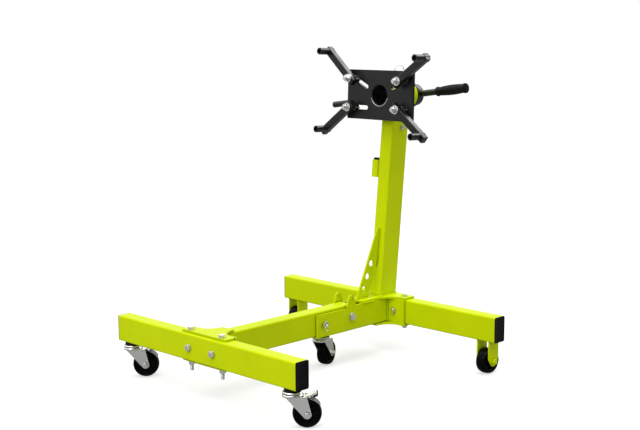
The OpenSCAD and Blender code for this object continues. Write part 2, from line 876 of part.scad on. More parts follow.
module face_plate() {
    color(black) stand() on_head() difference() {
        along_y(0, plate_t) rounded(plate_w, plate_h, 3);
        rod_y(spin_r + gap, -eps, plate_t + eps);
        for (s = [-1, 1]) {
            slot([s * slot_in, slot_z(slot_in)], [s * slot_out, slot_z(slot_out)]);
            slot([s * slot_in, lower_z], [s * slot_out, lower_z]);
        }
    }
}

module on_bar() {
    stand() on_head() translate([0, bar_y, 0]) rotate([0, 90 - bar_tilt, 0]) children();
}

module turning_bar() {
    color(black) on_bar() {
        translate([0, 0, -bar_left + 1]) cylinder(r = bar_r, h = bar_left + bar_right - 1);
        translate([0, 0, -bar_left]) cylinder(r1 = bar_r - 1, r2 = bar_r, h = 1);
    }
}

// Barrel-shaped grip with a flange at each end
module bar_grip() {
    steps = 12;
    flange = 7;
    from = grip_from + flange - gap;
    to = grip_to - flange + gap;
    swell = [for (i = [0 : steps]) [12.5 + 3.2 * sin(170 * i / steps),
        from + (to - from) * i / steps]];
    color(rubber) on_bar() difference() {
        rotate_extrude() {
            polygon(concat([[0, from]], swell, [[0, to]]));
            translate([0, grip_from]) square([15, flange]);
            translate([0, grip_to - flange]) square([15.5, flange - 1.5]);
            translate([0, grip_to - flange]) square([14, flange]);
        }
        translate([0, 0, grip_from - eps]) cylinder(r = bar_r + gap,
            h = bar_right - grip_from + eps + gap);
    }
}

// ---------------------------------------------------------------- arms

module arm(side, level, angle) {
    front = -arm_gap - arm_d;
    over = level > 0 ? upper_over : lower_over;
    color(black) stand() on_arm(side, level) mirror([side < 0 ? 1 : 0, 0, 0])
        rotate([0, -level * angle, 0]) difference() {
            union() {
                translate([(arm_reach + over - arm_back) / 2, front + arm_d / 2, 0])
                    rotate([0, 90, 0]) linear_extrude(arm_reach + over + arm_back,
                        center = true) rounded(arm_w, arm_d, 2);
                translate([arm_reach, 0, 0]) rod_y(arm_tube_r, front - arm_tube_len, -arm_gap);
            }
            rod_y(m12 / 2 + run, 2 * front, eps);
            translate([arm_reach, 0, 0]) rod_y(arm_bore_r, 2 * front - arm_tube_len, eps);
        }
}

// Bolt through the slot: head and washer behind the plate, a nut on its front
// and one that holds the arm
module arm_bolt(side, level) {
    front = arm_gap + arm_d + gap;
    back = plate_t + gap;
    color(zinc) stand() on_arm(side, level) rotate([-90, 0, 0]) {
        translate([0, 0, back]) washer(m12, big_washer_r, big_washer_t);
        translate([0, 0, back + big_washer_t + gap])
            bolt(m12, back + big_washer_t + gap + front + big_washer_t + 16);
        translate([0, 0, -gap]) nut(m12);
        translate([0, 0, -front - big_washer_t]) washer(m12, big_washer_r, big_washer_t);
        translate([0, 0, -front - big_washer_t - gap]) nut(m12);
    }
}

module upper_left_arm() { arm(-1, 1, upper_left_angle); }
module upper_right_arm() { arm(1, 1, upper_right_angle); }
module lower_left_arm() { arm(-1, -1, lower_left_angle); }
module lower_right_arm() { arm(1, -1, lower_right_angle); }
module upper_left_bolt() { arm_bolt(-1, 1); }
module upper_right_bolt() { arm_bolt(1, 1); }
module lower_left_bolt() { arm_bolt(-1, -1); }
module lower_right_bolt() { arm_bolt(1, -1); }

front_beam();
front_beam_plugs();
centre_beam();
pivot_sleeve();
front_bracket();
front_face_bolts();
front_deck_bolts();
front_left_caster_mount();
front_right_caster_mount();
front_left_fork();
front_right_fork();
front_left_axle();
front_right_axle();
front_left_wheel();
front_right_wheel();
front_left_brake();
front_right_brake();
rear_channel();
rear_bracket();
rear_beam();
rear_beam_plugs();
rear_face_bolts();
rear_deck_bolts();
pivot_bolt();
fold_pin_boss();
fold_pin();
fold_pin_ring();
centre_caster_mount();
centre_fork();
centre_axle();
centre_wheel();
rear_left_bracket();
rear_right_bracket();
rear_left_axle();
rear_right_axle();
rear_left_wheel();
rear_right_wheel();
mast();
mast_gusset();
mast_side_screw();
storage_tube();
storage_plug();
head_collar();
index_housing();
index_spring();
index_pin();
index_ring();
spin_tube();
stop_ring();
face_plate();
turning_bar();
bar_grip();
upper_left_arm();
upper_right_arm();
lower_left_arm();
lower_right_arm();
upper_left_bolt();
upper_right_bolt();
lower_left_bolt();
lower_right_bolt();
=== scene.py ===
"""Looks of the folding engine stand: materials, welds, threads, wheels, grip, light and camera."""

import json
import math
import random

import bmesh
import bpy
from mathutils import Matrix, Vector


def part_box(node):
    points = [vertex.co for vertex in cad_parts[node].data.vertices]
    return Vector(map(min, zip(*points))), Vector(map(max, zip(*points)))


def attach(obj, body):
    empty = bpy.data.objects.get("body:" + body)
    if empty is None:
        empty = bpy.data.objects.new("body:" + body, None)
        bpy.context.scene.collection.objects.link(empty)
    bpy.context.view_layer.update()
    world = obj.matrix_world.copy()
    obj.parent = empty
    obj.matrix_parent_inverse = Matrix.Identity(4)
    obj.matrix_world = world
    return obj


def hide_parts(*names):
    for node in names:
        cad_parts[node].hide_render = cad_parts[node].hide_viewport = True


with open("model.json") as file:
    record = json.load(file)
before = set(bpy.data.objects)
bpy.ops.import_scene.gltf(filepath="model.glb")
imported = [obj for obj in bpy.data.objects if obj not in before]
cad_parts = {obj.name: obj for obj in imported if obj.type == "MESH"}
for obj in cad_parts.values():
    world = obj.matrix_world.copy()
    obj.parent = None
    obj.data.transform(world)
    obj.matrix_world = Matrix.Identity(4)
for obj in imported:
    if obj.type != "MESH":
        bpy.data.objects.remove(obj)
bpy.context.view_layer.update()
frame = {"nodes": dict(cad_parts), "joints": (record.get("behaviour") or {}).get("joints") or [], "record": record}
nodes = frame["nodes"]
joints = {joint["name"]: joint for joint in frame["joints"]}
slot_of = {part["node"]: part["material_slot"] for part in frame["record"]["subparts"]}

MM = 0.001
X = Vector((1, 0, 0))
Y = Vector((0, 1, 0))
Z = Vector((0, 0, 1))
rng = random.Random(7)

# ------------------------------------------------------------------ places, read from the frame


def low(node):
    """The lowest corner of a node's box."""
    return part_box(node)[0]


def high(node):
    """The highest corner of a node's box."""
    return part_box(node)[1]


def middle(node):
    lowest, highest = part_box(node)
    return (lowest + highest) / 2


HEAD_AXIS = Vector(joints["head_spin"]["axis"]).normalized()
HEAD_UP = X.cross(HEAD_AXIS)
BAR_AXIS = Vector(joints["bar_slide"]["axis"]).normalized()
# The face plate's middle lies on the axis, half its thickness behind its front
PLATE_T = 10
HEAD_ORIGIN = middle("face_plate") - HEAD_AXIS * PLATE_T * MM / 2


def head_point(x, y, z):
    """A point in millimetres from the face plate's front on the head's axis."""
    return HEAD_ORIGIN + X * x * MM + HEAD_AXIS * y * MM + HEAD_UP * z * MM


# ------------------------------------------------------------------ materials


class Graph:
    """Short names for building a material's node tree."""

    def __init__(self, name):
        self.material = bpy.data.materials.new(name)
        self.material.use_nodes = True
        self.tree = self.material.node_tree
        self.shader = self.tree.nodes["Principled BSDF"]
        coordinates = self.add("ShaderNodeTexCoord")
        self.position = coordinates.outputs["Object"]

    def add(self, kind, **settings):
        node = self.tree.nodes.new(kind)
        for key, value in settings.items():
            setattr(node, key, value)
        return node

    def link(self, source, target):
        self.tree.links.new(source, target)

    def put(self, socket, value):
        if hasattr(value, "is_output"):
            self.link(value, socket)
        else:
            socket.default_value = value

    def noise(self, scale, detail=2.0, rough=0.5, stretch=None):
        node = self.add("ShaderNodeTexNoise")
        self.put(node.inputs["Scale"], scale)
        self.put(node.inputs["Detail"], detail)
        self.put(node.inputs["Roughness"], rough)
        source = self.position
        if stretch:
            mapping = self.add("ShaderNodeMapping")
            self.link(source, mapping.inputs["Vector"])
            mapping.inputs["Scale"].default_value = stretch
            source = mapping.outputs["Vector"]
        self.link(source, node.inputs["Vector"])
        return node.outputs["Fac"]

    def span(self, value, low_out, high_out, low_in=0.3, high_in=0.7):
        node = self.add("ShaderNodeMapRange")
        self.put(node.inputs["Value"], value)
        self.put(node.inputs["From Min"], low_in)
        self.put(node.inputs["From Max"], high_in)
        self.put(node.inputs["To Min"], low_out)
        self.put(node.inputs["To Max"], high_out)
        return node.outputs["Result"]

    def mix(self, share, first, second):
        node = self.add("ShaderNodeMix", data_type="RGBA")
        self.put(node.inputs["Factor"], share)
        self.put(node.inputs["A"], first)
        self.put(node.inputs["B"], second)
        return node.outputs["Result"]

    def edges(self, radius):
        """1 along outside edges, 0 on flats, and the rounded normal."""
        bevel = self.add("ShaderNodeBevel", samples=4)
        bevel.inputs["Radius"].default_value = radius * MM
        geometry = self.add("ShaderNodeNewGeometry")
        dot = self.add("ShaderNodeVectorMath", operation="DOT_PRODUCT")
        self.link(bevel.outputs["Normal"], dot.inputs[0])
        self.link(geometry.outputs["Normal"], dot.inputs[1])
        return self.span(dot.outputs["Value"], 1.0, 0.0, 0.8, 0.99), bevel.outputs["Normal"]

    def crevice(self, reach):
        """1 in the open, 0 deep in a corner; the materials use it to paint shade into corners."""
        node = self.add("ShaderNodeAmbientOcclusion", samples=10)
        node.inputs["Distance"].default_value = reach * MM
        return node.outputs["AO"]

    def bump(self, height, depth, normal=None, strength=1.0):
        node = self.add("ShaderNodeBump")
        self.put(node.inputs["Height"], height)
        node.inputs["Distance"].default_value = depth * MM
        node.inputs["Strength"].default_value = strength
        if normal is not None:
            self.link(normal, node.inputs["Normal"])
        return node.outputs["Normal"]

    def finish(self, **values):
        for key, value in values.items():
            self.put(self.shader.inputs[key.replace("_", " ")], value)
        return self.material


def powder_coat(name, colour, pale, roughness, peel, specular):
    """Baked powder: orange peel, faint mottling, a painted highlight along the edges and painted shade in corners.
    """
    graph = Graph(name)
    edge, normal = graph.edges(0.7)
    mottle = graph.noise(9, 3)
    speck = graph.noise(1400, 1)
    deeper = [channel * 0.93 for channel in colour[:3]] + [1]
    body = graph.mix(graph.span(mottle, 0, 1), colour, deeper)
    body = graph.mix(graph.span(speck, 0, 0.10, 0.35, 0.65), body, pale)
    # Painted highlight: the edges are mixed towards the paler colour.
    body = graph.mix(graph.span(edge, 0, 0.40, 0, 1), body, pale)
    # Painted shade: corners and crevices darken towards a deep shade of the colour.
    shade = [channel * 0.42 for channel in colour[:3]] + [1]
    body = graph.mix(graph.span(graph.crevice(9), 1, 0, 0.30, 0.92), body, shade)
    rough = graph.span(graph.noise(60, 2), roughness - 0.05, roughness + 0.06)
    ripple = graph.bump(graph.noise(520, 2, 0.55), peel, normal)
    return graph.finish(Base_Color=body, Roughness=rough, Normal=ripple,
                        Specular_IOR_Level=specular, Coat_Weight=0.02, Coat_Roughness=0.2)


def zinc_plating():
    """Bright zinc: a cool film with faint straw tints, fine rolling marks, dull patches, a painted highlight along
    the edges and painted shade in corners.
    """
    graph = Graph("zinc_plate")
    edge, normal = graph.edges(0.5)
    cool, straw, dull = (0.86, 0.86, 0.87, 1), (0.87, 0.86, 0.84, 1), (0.76, 0.76, 0.76, 1)
    body = graph.mix(graph.span(graph.noise(45, 3), 0, 1), cool, straw)
    body = graph.mix(graph.span(graph.noise(160, 4), 0, 0.45), body, dull)
    # Painted highlight: the edges are mixed towards near white.
    body = graph.mix(graph.span(edge, 0, 0.6, 0, 1), body, (0.95, 0.95, 0.95, 1))
    # Painted shade: corners and crevices darken towards near black.
    body = graph.mix(graph.span(graph.crevice(5), 1, 0, 0.15, 0.75), body, (0.12, 0.12, 0.12, 1))
    rough = graph.span(graph.noise(220, 3), 0.20, 0.30)
    marks = graph.bump(graph.noise(900, 2, 0.5, (1, 1, 0.15)), 0.008, normal, 0.5)
    return graph.finish(Base_Color=body, Metallic=1.0, Roughness=rough, Normal=marks)


def machined_steel():
    """Turned steel with fine tool lines and an oily darker film."""
    graph = Graph("bare_steel")
    normal = graph.edges(0.4)[1]
    body = graph.mix(graph.span(graph.noise(70, 3), 0, 1),
                     (0.46, 0.46, 0.47, 1), (0.30, 0.29, 0.28, 1))
    lines = graph.noise(300, 1, 0.5, (8, 1, 1))
    rough = graph.span(lines, 0.26, 0.44)
    return graph.finish(Base_Color=body, Metallic=1.0, Roughness=rough,
                        Normal=graph.bump(lines, 0.03, normal))


def moulded(name, colour, pale, roughness, grain, grain_scale, specular):
    """Moulded plastic or rubber: fine spark-eroded grain and slightly paler edges."""
    graph = Graph(name)
    edge, normal = graph.edges(0.7)
    body = graph.mix(graph.span(graph.noise(30, 3), 0, 0.5), colour, pale)
    body = graph.mix(graph.span(edge, 0, 0.35, 0, 1), body, pale)
    rough = graph.span(graph.noise(90, 3), roughness - 0.07, roughness + 0.07)
    skin = graph.bump(graph.noise(grain_scale, 3, 0.6), grain, normal)
    return graph.finish(Base_Color=body, Roughness=rough, Normal=skin,
                        Specular_IOR_Level=specular)


materials = {
    "lime_powder_coat": powder_coat("lime_powder_coat", (0.70, 0.85, 0.0, 1),
                                    (0.85, 0.98, 0.01, 1), 0.40, 0.05, 0.06),
    "black_powder_coat": powder_coat("black_powder_coat", (0.004, 0.004, 0.0045, 1),
                                     (0.040, 0.040, 0.041, 1), 0.33, 0.07, 0.42),
    "zinc_plate": zinc_plating(),
    "bare_steel": machined_steel(),
    "black_plastic": moulded("black_plastic", (0.003, 0.003, 0.0035, 1),
                             (0.010, 0.010, 0.011, 1), 0.44, 0.05, 1100, 0.10),
    "black_wheel": moulded("black_wheel", (0.0015, 0.0015, 0.002, 1),
                           (0.004, 0.004, 0.005, 1), 0.28, 0.02, 700, 0.05),
    "grip_rubber": moulded("grip_rubber", (0.004, 0.004, 0.004, 1),
                           (0.012, 0.012, 0.012, 1), 0.50, 0.06, 900, 0.16),
    "grey_plastic": moulded("grey_plastic", (0.17, 0.17, 0.175, 1),
                            (0.24, 0.24, 0.245, 1), 0.42, 0.04, 900, 0.30),
}

for node_name, cad_node in nodes.items():
    cad_node.data.materials.clear()
    cad_node.data.materials.append(materials[slot_of[node_name]])

# ------------------------------------------------------------------ mesh tools


def add_piece(name, verts, faces, slot, body, smooth=35, look=None):
    """Makes a mesh piece, shades it smooth under an angle and rides it on its body.

    slot is one of the record's; look names another material to show in its place.
    """
    mesh = bpy.data.meshes.new(name)
    mesh.from_pydata([tuple(v) for v in verts], [], faces)
    piece = bpy.data.objects.new(name, mesh)
    bpy.context.scene.collection.objects.link(piece)
    tidy = bmesh.new()
    tidy.from_mesh(mesh)
    bmesh.ops.remove_doubles(tidy, verts=tidy.verts, dist=1e-6)
    bmesh.ops.recalc_face_normals(tidy, faces=tidy.faces)
    for face in tidy.faces:
        face.smooth = True
    for edge in tidy.edges:
        if len(edge.link_faces) == 2 and edge.calc_face_angle(0) > math.radians(smooth):
            edge.smooth = False
    tidy.to_mesh(mesh)
    tidy.free()
    mesh.materials.append(materials[look or slot])
    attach(piece, body)
    return piece


def basis(axis):
    """Two unit vectors square to axis."""
    axis = axis.normalized()
    side = axis.cross(Z if abs(axis.z) < 0.9 else X).normalized()
    return side, axis.cross(side)


def loops_to_faces(rings, size, closed):
    """Quads between rings of size vertices each; closed joins the last ring to the first."""
    faces = []
    for i in range(rings if closed else rings - 1):
        for k in range(size):
            a, b = i * size, (i + 1) % rings * size
            faces.append((a + k, a + (k + 1) % size, b + (k + 1) % size, b + k))
    return faces


def lathe(profile, centre, axis, steps=64):
    """Turns a closed profile of (radius, height) in millimetres about an axis."""
    side, up = basis(axis)
    verts = []
    for i in range(steps):
        turn = 2 * math.pi * i / steps
        out = side * math.cos(turn) + up * math.sin(turn)
        verts += [centre + out * r * MM + axis.normalized() * h * MM for r, h in profile]
    return verts, loops_to_faces(steps, len(profile), True)


def sweep(points, radius_at, normal, closed, sides=8):
    """A round bead along points; normal keeps its section from twisting."""
    count = len(points)
    verts = []
    for i, point in enumerate(points):
        ahead = points[(i + 1) % count] if closed or i < count - 1 else point
        behind = points[i - 1] if closed or i > 0 else point
        tangent = (ahead - behind).normalized()
        out = (normal - tangent * normal.dot(tangent)).normalized()
        side = tangent.cross(out)
        radius = radius_at(i) * MM
        for k in range(sides):
            turn = 2 * math.pi * k / sides
            verts.append(point + (out * math.cos(turn) + side * math.sin(turn)) * radius)
    faces = loops_to_faces(count, sides, closed)
    if not closed:
        faces.append(tuple(range(sides)))
        faces.append(tuple(range((count - 1) * sides, count * sides))[::-1])
    return verts, faces


def resample(points, step, closed):
    """Points along a polyline at about one step apart."""
    chain = list(points) + ([points[0]] if closed else [])
    out = []
    for a, b in zip(chain, chain[1:]):
        parts = max(1, round((b - a).length / step))
        out += [a.lerp(b, i / parts) for i in range(parts)]
    return out if closed else out + [chain[-1]]


BEAD_PITCH = 2.4      # distance between a weld's ripples, in millimetres
BEAD_STEPS = 6        # rings of vertices in each ripple


def weld(name, points, size, normal, body, closed=False, slot="lime_powder_coat"):
    """A rippled fillet bead: each ripple swells fast and falls off, like laid coins."""
    path = resample(points, BEAD_PITCH * MM / BEAD_STEPS, closed)
    drift = [rng.uniform(0.93, 1.07) for _ in range(len(path) // BEAD_STEPS + 2)]

    def radius_at(i):
        ripple, phase = divmod(i, BEAD_STEPS)
        swell = math.sin(math.pi * (phase + 0.5) / BEAD_STEPS) ** 0.5
        end = 1 if closed else min(1, 0.35 + 0.16 * min(i, len(path) - 1 - i))
        return size * drift[ripple] * (0.80 + 0.20 * swell) * end

    verts, faces = sweep(path, radius_at, normal, closed)
    return add_piece(name, verts, faces, slot, body, smooth=80)


def circle_points(centre, axis, radius, steps):
    """A circle's points; the radius is in millimetres."""
    side, up = basis(axis)
    angles = [2 * math.pi * i / steps for i in range(steps)]
    return [centre + (side * math.cos(a) + up * math.sin(a)) * radius * MM for a in angles]


# Radius and pitch of the bolts' threads
M10 = (5, 1.5)
M12 = (6, 1.75)


def thread(name, base, axis, size, length, body):
    """The helical crests of a bolt's thread, over the plain CAD shank."""
    radius, pitch = size
    side, up = basis(axis)
    steps = 28
    turns = length / pitch
    verts, faces = [], []
    total = int(turns * steps)
    for i in range(total + 1):
        turn = 2 * math.pi * i / steps
        out = side * math.cos(turn) + up * math.sin(turn)
        fade = min(1, i / steps * 2, (total - i) / steps * 2)
        rise = pitch * i / steps
        for r, h in ((-0.15, -0.42), (0.30 * fade, -0.06), (0.30 * fade, 0.06), (-0.15, 0.42)):
            verts.append(base + out * (radius + r) * MM + axis * (rise + h * pitch) * MM)
        if i < total:
            faces += [(4 * i + k, 4 * i + k + 1, 4 * i + k + 5, 4 * i + k + 4) for k in range(3)]
            faces.append((4 * i + 3, 4 * i, 4 * i + 4, 4 * i + 7))
    faces.append((0, 1, 2, 3))
    faces.append(tuple(4 * total + k for k in (3, 2, 1, 0)))
    return add_piece(name, verts, faces, "zinc_plate", body, smooth=50)


# ------------------------------------------------------------------ wheels


WHEELS = ("front_left", "front_right", "centre", "rear_left", "rear_right")
WHEEL_W = 33            # across the tyre
TYRE_ROUND = 5.2        # depth of the tyre's crown
HUB_HALF = 18.3         # half the bearing tube's length
FORK_AXLE_BORE = 4.1
PLATE_AXLE_BORE = 5.1


def wheel(place):
    """A solid tyre with parting line, a webbed core and a pressed-in bearing tube."""
    name = place + "_wheel"
    centre = Vector(joints[place + "_roll"]["pos_m"])
    axis = Vector(joints[place + "_roll"]["axis"]).normalized()
    radius = (high(name).z - low(name).z) / 2 / MM
    half = WHEEL_W / 2
    tyre = [(27.6, -9.5), (28.6, -half + 2.4), (30.2, -half + 0.6), (32.0, -half)]
    bulge = 9
    for i in range(bulge + 1):
        turn = math.radians(-78 + 156 * i / bulge)
        tyre.append((radius - TYRE_ROUND + TYRE_ROUND * math.cos(turn),
                     (half - 0.3) * math.sin(turn)))
    middle_at = len(tyre) - (bulge + 1) // 2
    tyre[middle_at:middle_at] = [(radius - 0.05, -0.5), (radius, -0.25), (radius, 0.25),
                                 (radius - 0.05, 0.5)]
    tyre += [(32.0, half), (30.2, half - 0.6), (28.6, half - 2.4), (27.6, 9.5)]
    tread = add_piece(name + "_tyre", *lathe(tyre, centre, axis, 96), "black_wheel", name, 40)
    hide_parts(name)
    core = [(9.2, -16.6), (12.4, -16.6), (13.4, -15.6), (13.8, -6.2), (15.0, -5.0), (24.0, -5.0),
            (25.4, -6.2), (25.8, -12.6), (26.6, -13.4), (27.7, -13.4)]
    core += [(r, -h) for r, h in reversed(core)]
    add_piece(name + "_core", *lathe(core, centre, axis, 96), "black_plastic", name, 30)
    bore = PLATE_AXLE_BORE if place.startswith("rear") else FORK_AXLE_BORE
    tube = [(bore, -HUB_HALF), (8.3, -HUB_HALF), (9.1, -HUB_HALF + 0.7), (9.3, -15.8),
            (9.3, 15.8), (9.1, HUB_HALF - 0.7), (8.3, HUB_HALF), (bore, HUB_HALF)]
    add_piece(name + "_bearing", *lathe(tube, centre, axis, 48), "bare_steel", name, 30)
    ribs(name + "_ribs", centre, axis, name)


def ribs(name, centre, axis, body):
    """Eight radial ribs on each side of a wheel's web."""
    side, up = basis(axis)
    verts, faces = [], []
    for face_side in (-1, 1):
        for k in range(8):
            turn = math.pi * k / 4
            out = side * math.cos(turn) + up * math.sin(turn)
            across = axis.cross(out)
            start = len(verts)
            for r, deep, wide in ((13.2, 13.6, 1.5), (19.5, 11.2, 1.1), (26.2, 12.6, 1.5)):
                for w, h in ((-wide, 4.6), (-wide * 0.7, deep), (wide * 0.7, deep), (wide, 4.6)):
                    verts.append(centre + out * r * MM + across * w * MM
                                 + axis * face_side * h * MM)
            for ring in range(2):
                a = start + 4 * ring
                faces += [(a + i, a + (i + 1) % 4, a + 4 + (i + 1) % 4, a + 4 + i)
                          for i in range(4)]
            faces.append(tuple(range(start, start + 4)))
            faces.append(tuple(range(start + 8, start + 12)))
    add_piece(name, verts, faces, "black_plastic", body, 30)


for wheel_place in WHEELS:
    wheel(wheel_place)

# ------------------------------------------------------------------ grip


GRIP_LEN = 111
BAR_R = 10


def bar_middle():
    """The point where the bar crosses the head's axis."""
    bar_low, bar_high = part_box("turning_bar")
    share = -bar_low.x / (bar_high.x - bar_low.x)
    y = (bar_low.y + bar_high.y) / 2
    z = (bar_low.z + BAR_R * MM) + (bar_high.z - bar_low.z - 2 * BAR_R * MM) * share
    return Vector((0, y, z))


def grip():
    """Barrel grip: a flange at each end, fine rings between, and a closed end."""
    centre = bar_middle()
    far = high("bar_grip").x / BAR_AXIS.x / MM - 2.0
    near = far - GRIP_LEN
    profile = [(10.1, near), (13.5, near), (14.6, near + 1.0), (14.9, near + 3.0),
               (14.4, near + 5.4), (12.6, near + 7.0)]
    rings = 34
    start, stop = near + 8.5, far - 10.5
    for i in range(rings):
        for share, depth in ((0.0, 0.0), (0.25, 0.55), (0.6, 0.55), (0.85, 0.0)):
            along = (i + share) / rings
            swell = 12.4 + 3.0 * math.sin(math.radians(168) * along)
            profile.append((swell + depth - 0.25, start + (stop - start) * along))
    profile += [(13.2, far - 9.5), (14.9, far - 8.4), (15.3, far - 6.0), (15.3, far - 3.0),
                (14.6, far - 1.2), (13.0, far - 0.3), (9.0, far + 0.2), (3.0, far + 0.4),
                (0.05, far + 0.4), (0.05, far - 4.0), (10.1, far - 4.0)]
    piece = add_piece("bar_grip_ribbed", *lathe(profile, centre, BAR_AXIS, 72),
                      "grip_rubber", "turning_bar", 50)
    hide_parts("bar_grip")


grip()

# ------------------------------------------------------------------ welds


def rounded_loop(centre, across, along, half_w, half_d, corner):
    """A closed rectangle with round corners, in millimetres about centre."""
    points = []
    for quarter, (sx, sy) in enumerate(((1, 1), (-1, 1), (-1, -1), (1, -1))):
        for i in range(5):
            a = math.radians(90 * quarter + 22.5 * i)
            u = sx * (half_w - corner) + corner * math.cos(a)
            v = sy * (half_d - corner) + corner * math.sin(a)
            points.append(centre + across * u * MM + along * v * MM)
    return points


BEAM_W = 45
BEAM_H = 75
CORNER = 5              # radius of a beam's long edges
MAST_LEAN = math.radians(5.9)
MAST_UP = Vector((0, math.sin(MAST_LEAN), math.cos(MAST_LEAN)))
MAST_BACK = Vector((0, math.cos(MAST_LEAN), -math.sin(MAST_LEAN)))
half_foot = BEAM_H / 2 / math.cos(MAST_LEAN)
mast_foot = Vector((0, low("mast").y + half_foot * MM, low("mast").z))


def mast_front_y(z):
    """Where the leaning mast's front face is at height z."""
    return low("mast").y + (z - low("mast").z) * math.tan(MAST_LEAN)


def base_welds():
    """Beads at the mast's foot, the gusset, the brackets and the wheel plates."""
    weld("weld_mast_foot", rounded_loop(mast_foot, X, Y, BEAM_W / 2 + 1, half_foot + 1, CORNER + 1),
         3.2, Z, "base", closed=True)
    foot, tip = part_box("mast_gusset")
    # The gusset meets the mast only above its open corner
    window = foot.z + 119 * MM
    for side, label in ((-1, "left"), (1, "right")):
        x = side * (tip.x + 1.0 * MM)
        weld(f"weld_gusset_foot_{label}",
             [Vector((x, foot.y + 2 * MM, foot.z)), Vector((x, foot.y + 49 * MM, foot.z))],
             2.4, Z, "base")
        weld(f"weld_gusset_mast_{label}",
             [Vector((x, mast_front_y(z), z)) for z in (window + 3 * MM, tip.z - 2 * MM)],
             2.4, X, "base")
    beam_front = Vector((0, low("centre_beam").y, middle("pivot_sleeve").z))
    weld("weld_centre_beam", rounded_loop(beam_front, X, Z, BEAM_W / 2 + 1, BEAM_H / 2 + 1, CORNER),
         3.0, Y, "front_frame", closed=True)
    start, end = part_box("rear_channel")
    x, y = end.x + 1 * MM, end.y - 1 * MM
    top = high("rear_beam").z - 2 * MM
    weld("weld_channel_end", [Vector((-x, y, top)), Vector((-x, y, start.z + 4 * MM)),
                              Vector((-x + 4 * MM, y, start.z - 1 * MM)),
                              Vector((x - 4 * MM, y, start.z - 1 * MM)),
                              Vector((x, y, start.z + 4 * MM)), Vector((x, y, top))],
         3.0, Y, "base")
    deck_y = low("rear_bracket").y
    for side, label in ((-1, "left"), (1, "right")):
        weld(f"weld_deck_{label}",
             [Vector((side * x, deck_y + 3 * MM, high("rear_beam").z)),
              Vector((side * x, deck_y + 50 * MM, high("rear_beam").z))],
             2.4, X, "base")
        start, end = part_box(f"rear_{label}_bracket")
        for edge_x, way in ((start.x, -1), (end.x, 1)):
            weld(f"weld_{label}_plate_{'in' if way * side < 0 else 'out'}",
                 [Vector((edge_x + way * MM, start.y + MM, end.z - MM)),
                  Vector((edge_x + way * MM, end.y - MM, end.z - MM))], 2.2, Z, "base")
    boss = high("fold_pin_boss")
    centre = Vector((low("fold_pin_boss").x, middle("fold_pin_boss").y, middle("fold_pin_boss").z))
    weld("weld_pin_boss", circle_points(centre, X, (boss.z - centre.z) / MM, steps=40), 1.6, X,
         "base", closed=True)


def storage_welds():
    """Two short beads that hold the storage tube to the mast's side."""
    start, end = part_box("storage_tube")
    centre_y = (start.y + end.y) / 2
    for side, label in ((-1, "front"), (1, "back")):
        foot = Vector((-(BEAM_W / 2 + 1) * MM, centre_y + side * 7 * MM, start.z + 5 * MM))
        weld(f"weld_storage_{label}",
             [foot, foot + MAST_UP * 40 * MM], 2.2, X, "base")


COLLAR_R = 38
TUBE_R = 33
TUBE_RECESS = 3         # from the plate's front back to the tube's end
HOUSING_R = 10.5        # the index pin's housing
ARM_TUBE_R = 10.4


def head_welds():
    """The collar's saddle on the mast, the plate on its tube, and the arms' end tubes."""
    saddle = []
    for point in rounded_loop(mast_foot, X, MAST_BACK, BEAM_W / 2 + 1, BEAM_H / 2 + 1,
                              CORNER):
        drop = math.sqrt((COLLAR_R * MM) ** 2 - point.x ** 2)
        rise = ((HEAD_ORIGIN - point).dot(HEAD_UP) - drop) / MAST_UP.dot(HEAD_UP)
        saddle.append(point + MAST_UP * rise)
    weld("weld_collar", saddle, 3.0, X + Y * 0.3, "base", closed=True)
    for y, radius, label in ((TUBE_RECESS - 0.6, TUBE_R - 0.6, "front"),
                             (PLATE_T + 0.3, TUBE_R + 0.3, "back")):
        weld(f"weld_plate_{label}",
             circle_points(head_point(0, y, 0), HEAD_AXIS, radius, steps=90), 2.2, HEAD_AXIS,
             "head", closed=True, slot="black_powder_coat")
    # Painted highlight: a bare steel arc over the lower part of the tube's rim stands for the light the rim
    # catches there.
    rim_r, rim_y = TUBE_R + 0.4, TUBE_RECESS - 2.4
    highlight_arc = []
    for i in range(49):
        turn = math.radians(195 + 150 * i / 48)
        highlight_arc.append(head_point(rim_r * math.cos(turn), rim_y, rim_r * math.sin(turn)))
    weld("rim_highlight_arc", highlight_arc, 1.9, HEAD_AXIS, "head", slot="bare_steel")
    index = middle("index_housing")
    index_y = (index - HEAD_ORIGIN).dot(HEAD_AXIS) / MM
    ring = []
    for i in range(48):
        turn = 2 * math.pi * i / 48
        x, y = HOUSING_R * math.cos(turn), HOUSING_R * math.sin(turn)
        ring.append(head_point(x, index_y + y, math.sqrt(COLLAR_R ** 2 - x * x)))
    weld("weld_index_housing", ring, 1.8, HEAD_UP, "base", closed=True)
    for mount in frame["record"]["mounts"]:
        arm = mount["name"].replace("_engine_bolt", "_arm")
        out = Vector(mount["axis"])
        for depth, label in ((-9.5, "front"), (-29.2, "back")):
            centre = Vector(mount["pos_m"]) + out * depth * MM
            weld(f"weld_{arm}_{label}", circle_points(centre, out, ARM_TUBE_R, steps=36), 1.3, out,
                 arm, closed=True, slot="black_powder_coat")


base_welds()
storage_welds()
head_welds()

# ------------------------------------------------------------------ fasteners


# Each pair of bolts: its body, distance from the centre line, and thread length that shows
DECK_BOLTS = {"front_deck_bolts": ("front_frame", 64, 15.8), "rear_deck_bolts": ("base", 75, 1.8)}
FACE_BOLTS = {"front_face_bolts": ("front_frame", 49, 4.6), "rear_face_bolts": ("base", 54, 4.6)}
CHAMFER = 0.6           # a bolt's plain end, before its thread


